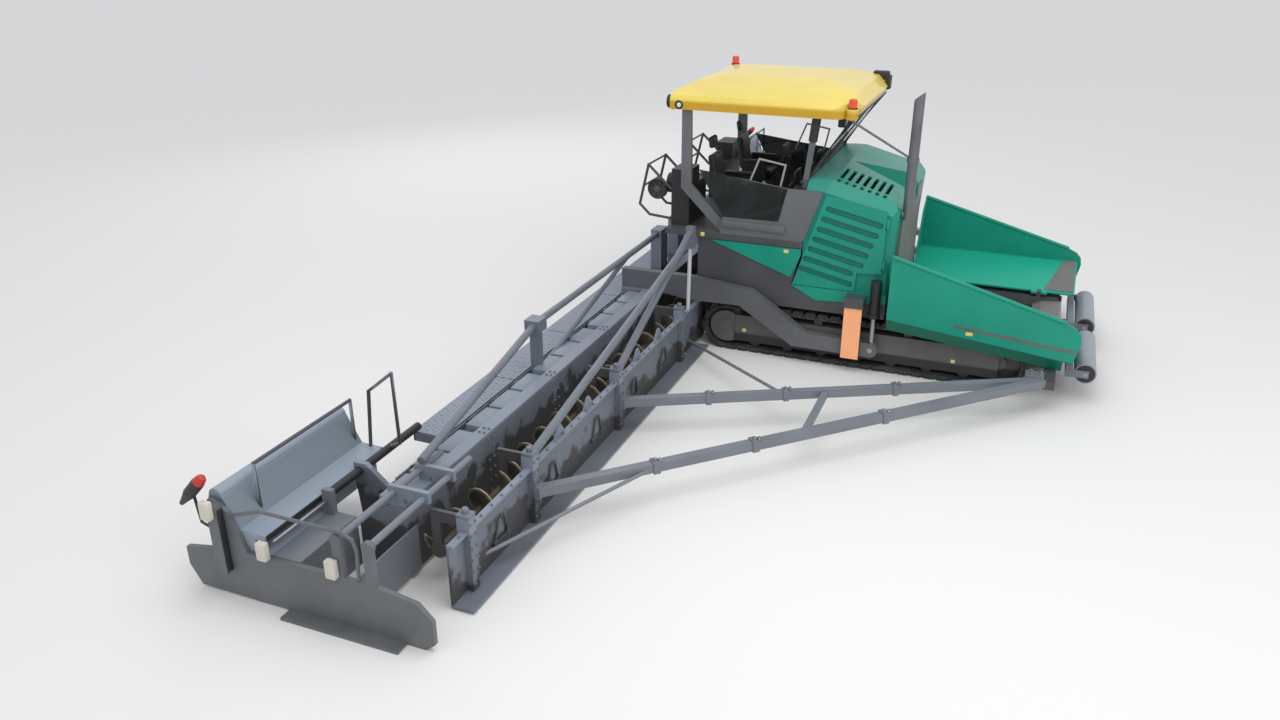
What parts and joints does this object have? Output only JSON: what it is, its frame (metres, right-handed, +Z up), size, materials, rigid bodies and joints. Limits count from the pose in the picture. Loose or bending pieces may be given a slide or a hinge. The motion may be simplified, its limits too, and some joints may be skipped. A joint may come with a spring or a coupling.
{
  "type": "asphalt paver",
  "caption": "Tracked asphalt paver with a folding receiving hopper, roofed operator platform, spreading augers and a very wide bolt-on screed with sliding end units.",
  "frame": {"origin": "middle of the bounding box on the ground", "axes": "+X forward in the direction of travel, +Y left, +Z up"},
  "size_m": [8.28, 18.6, 3.98],
  "materials": {
    "grey_paint": "satin",
    "slate_paint": "satin",
    "teal_paint": "gloss",
    "yellow_paint": "gloss",
    "orange_paint": "satin",
    "black_plastic": "matte",
    "track_rubber": "matte",
    "worn_steel": "brushed",
    "auger_steel": "worn",
    "cast_block": "matte",
    "stack_steel": "satin",
    "clear_glass": "clear",
    "seat_cover": "satin",
    "lamp_lens": "gloss"
  },
  "bodies": {
    "tractor": {"chassis": "grey_paint", "tracks": "track_rubber", "track_frames": "grey_paint", "conveyor": "worn_steel", "engine": "cast_block", "body_sides": "grey_paint", "side_trim": "teal_paint", "hood": "teal_paint", "exhaust": "stack_steel", "platform": "grey_paint", "platform_sides": "grey_paint", "side_panels": "black_plastic", "roof": "yellow_paint", "windshield": "clear_glass", "seat_frames": "black_plastic", "seat_pads": "seat_cover", "console": "black_plastic", "handrails": "black_plastic", "lamps": "lamp_lens", "hopper_wall": "grey_paint", "tow_rams": "grey_paint", "tow_guides": "orange_paint", "auger_supports": "grey_paint", "auger_shields": "slate_paint", "push_braces": "slate_paint", "upper_braces": "slate_paint"},
    "hopper_left_half": {"hopper_left": "teal_paint"},
    "hopper_right_half": {"hopper_right": "teal_paint"},
    "push_bar": {"push_beam": "slate_paint"},
    "roller_left": {"push_roller_left": "slate_paint"},
    "roller_right": {"push_roller_right": "slate_paint"},
    "door_left": {"hood_door_left": "teal_paint"},
    "door_right": {"hood_door_right": "teal_paint"},
    "spreader_left": {"auger_left": "auger_steel"},
    "spreader_right": {"auger_right": "auger_steel"},
    "tow_point": {"tow_blocks": "worn_steel"},
    "screed": {"tow_arms": "grey_paint", "screed_center": "slate_paint", "screed_wings": "slate_paint", "sole_plates": "worn_steel", "walkways": "slate_paint", "screed_truss": "slate_paint"},
    "extension_left": {"ext_frame_left": "slate_paint", "end_gate_left": "slate_paint"},
    "extension_right": {"ext_frame_right": "slate_paint", "end_gate_right": "slate_paint"}
  },
  "joints": [
    {"name": "hopper_left_fold", "type": "hinge", "parent": "tractor", "child": "hopper_left_half", "pos_m": [2.45, 0.84, 0.72], "axis": [1, 0, 0], "range_deg": [0, 45]},
    {"name": "hopper_right_fold", "type": "hinge", "parent": "tractor", "child": "hopper_right_half", "pos_m": [2.45, -0.84, 0.72], "axis": [-1, 0, 0], "range_deg": [0, 45]},
    {"name": "push_bar_swing", "type": "hinge", "parent": "tractor", "child": "push_bar", "pos_m": [3.795, 0, 0.45], "axis": [0, 0, 1], "range_deg": [-3, 3]},
    {"name": "roller_left_spin", "type": "hinge", "parent": "push_bar", "child": "roller_left", "pos_m": [4, 0.9, 0.45], "axis": [0, 1, 0], "continuous": true},
    {"name": "roller_right_spin", "type": "hinge", "parent": "push_bar", "child": "roller_right", "pos_m": [4, -0.9, 0.45], "axis": [0, 1, 0], "continuous": true},
    {"name": "door_left_open", "type": "hinge", "parent": "tractor", "child": "door_left", "pos_m": [1.21, 1.494, 1.8], "axis": [0, 0, -1], "range_deg": [0, 80]},
    {"name": "door_right_open", "type": "hinge", "parent": "tractor", "child": "door_right", "pos_m": [1.21, -1.494, 1.8], "axis": [0, 0, 1], "range_deg": [0, 80]},
    {"name": "auger_left_spin", "type": "hinge", "parent": "tractor", "child": "spreader_left", "pos_m": [-1.85, 4, 0.4], "axis": [0, 1, 0], "continuous": true},
    {"name": "auger_right_spin", "type": "hinge", "parent": "tractor", "child": "spreader_right", "pos_m": [-1.85, -4, 0.4], "axis": [0, 1, 0], "continuous": true},
    {"name": "tow_point_lift", "type": "slide", "parent": "tractor", "child": "tow_point", "axis": [0, 0, 1], "range_m": [0, 0.12]},
    {"name": "screed_lift", "type": "hinge", "parent": "tow_point", "child": "screed", "pos_m": [1.15, 0, 0.37], "axis": [0, 1, 0], "range_deg": [0, 4]},
    {"name": "extension_left_slide", "type": "slide", "parent": "screed", "child": "extension_left", "axis": [0, 1, 0], "range_m": [-0.45, 0.3]},
    {"name": "extension_right_slide", "type": "slide", "parent": "screed", "child": "extension_right", "axis": [0, -1, 0], "range_m": [-0.45, 0.3]}
  ]
}
